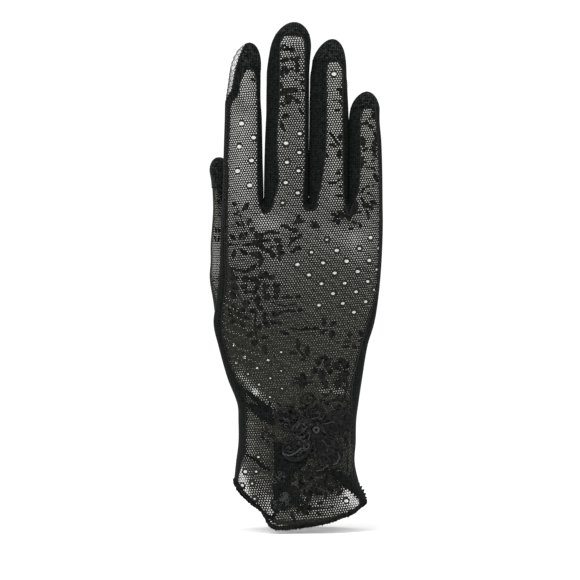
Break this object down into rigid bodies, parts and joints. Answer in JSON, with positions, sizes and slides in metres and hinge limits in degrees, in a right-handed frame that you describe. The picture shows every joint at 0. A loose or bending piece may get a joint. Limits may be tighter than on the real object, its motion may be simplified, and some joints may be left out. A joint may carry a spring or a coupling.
{
  "type": "lace glove",
  "caption": "Black floral stretch-lace dress glove for a right hand, with plain strips between the fingers, a rolled wavy hem and a raised lace flower on the wrist.",
  "frame": {"origin": "middle of the cuff opening, at the height of the hem's lowest point", "axes": "+Z from the cuff towards the finger tips, -Y out of the back of the hand, -X towards the thumb"},
  "size_m": [0.0792, 0.0594, 0.2345],
  "materials": {
    "net": "matt black stretch lace net",
    "plain": "matt black stretch knit",
    "cord": "slightly lustrous black thread"
  },
  "bodies": {
    "root": {"lace_back": "net", "lace_palm": "net", "lace_thumb": "net", "fourchette_index_middle": "plain", "fourchette_middle_ring": "plain", "fourchette_ring_little": "plain", "band_thumb_side": "plain", "band_little_side": "plain", "tip_index": "plain", "tip_middle": "plain", "tip_ring": "plain", "tip_little": "plain", "tip_thumb": "plain", "hem_roll": "cord", "flower_petal_lower_right": "cord", "flower_petal_lower_left": "cord", "flower_petal_upper_left": "cord", "flower_petal_top": "cord", "flower_petal_right": "cord", "flower_heart": "cord", "flower_ring": "cord", "ribbon_tail": "plain"}
  },
  "joints": []
}
